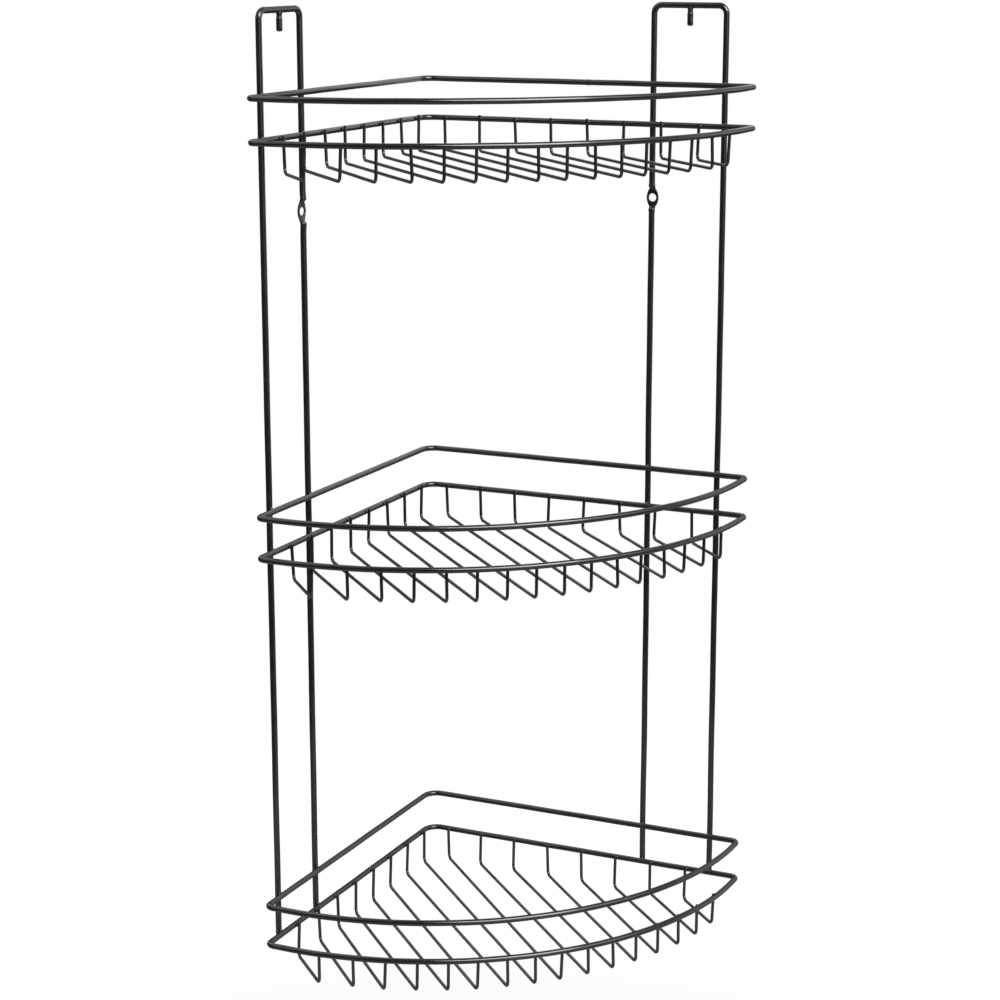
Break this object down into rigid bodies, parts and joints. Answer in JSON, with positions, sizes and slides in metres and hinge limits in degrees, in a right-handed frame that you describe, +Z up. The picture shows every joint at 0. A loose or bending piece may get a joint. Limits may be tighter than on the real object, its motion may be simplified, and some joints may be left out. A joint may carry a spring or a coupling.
{
  "type": "shower caddy",
  "caption": "Corner shower caddy: quarter-round wire basket shelves stacked between tall wire frames that lie flat on the walls and hang by pegs and screw eyes.",
  "frame": {"origin": "on the corner line where the two wall faces meet, at the height of the bottom shelf's underside", "axes": "+Z up along the wall corner; the right wall's face is the plane Y = 0 and runs along +X, the left wall's face is the plane X = 0 and runs along -Y, as seen from the room, so the room side is +X and -Y"},
  "size_m": [0.256, 0.256, 0.6441],
  "materials": {
    "black_coating": "satin black powder coat on welded steel wire, slightly uneven at the bends and welds"
  },
  "bodies": {
    "root": {"left_frame": "black_coating", "right_frame": "black_coating", "left_peg": "black_coating", "right_peg": "black_coating", "bottom_lower_ring": "black_coating", "middle_lower_ring": "black_coating", "top_lower_ring": "black_coating", "bottom_upper_ring": "black_coating", "middle_upper_ring": "black_coating", "top_upper_ring": "black_coating", "bottom_floor_wire_01": "black_coating", "bottom_floor_wire_02": "black_coating", "bottom_floor_wire_03": "black_coating", "bottom_floor_wire_04": "black_coating", "bottom_floor_wire_05": "black_coating", "bottom_floor_wire_06": "black_coating", "bottom_floor_wire_07": "black_coating", "bottom_floor_wire_08": "black_coating", "bottom_floor_wire_09": "black_coating", "bottom_floor_wire_10": "black_coating", "bottom_floor_wire_11": "black_coating", "bottom_floor_wire_12": "black_coating", "bottom_floor_wire_13": "black_coating", "bottom_floor_wire_14": "black_coating", "bottom_floor_wire_15": "black_coating", "bottom_floor_wire_16": "black_coating", "middle_floor_wire_01": "black_coating", "middle_floor_wire_02": "black_coating", "middle_floor_wire_03": "black_coating", "middle_floor_wire_04": "black_coating", "middle_floor_wire_05": "black_coating", "middle_floor_wire_06": "black_coating", "middle_floor_wire_07": "black_coating", "middle_floor_wire_08": "black_coating", "middle_floor_wire_09": "black_coating", "middle_floor_wire_10": "black_coating", "middle_floor_wire_11": "black_coating", "middle_floor_wire_12": "black_coating", "middle_floor_wire_13": "black_coating", "middle_floor_wire_14": "black_coating", "middle_floor_wire_15": "black_coating", "middle_floor_wire_16": "black_coating", "top_floor_wire_01": "black_coating", "top_floor_wire_02": "black_coating", "top_floor_wire_03": "black_coating", "top_floor_wire_04": "black_coating", "top_floor_wire_05": "black_coating", "top_floor_wire_06": "black_coating", "top_floor_wire_07": "black_coating", "top_floor_wire_08": "black_coating", "top_floor_wire_09": "black_coating", "top_floor_wire_10": "black_coating", "top_floor_wire_11": "black_coating", "top_floor_wire_12": "black_coating", "top_floor_wire_13": "black_coating", "top_floor_wire_14": "black_coating", "top_floor_wire_15": "black_coating", "top_floor_wire_16": "black_coating"}
  },
  "joints": []
}
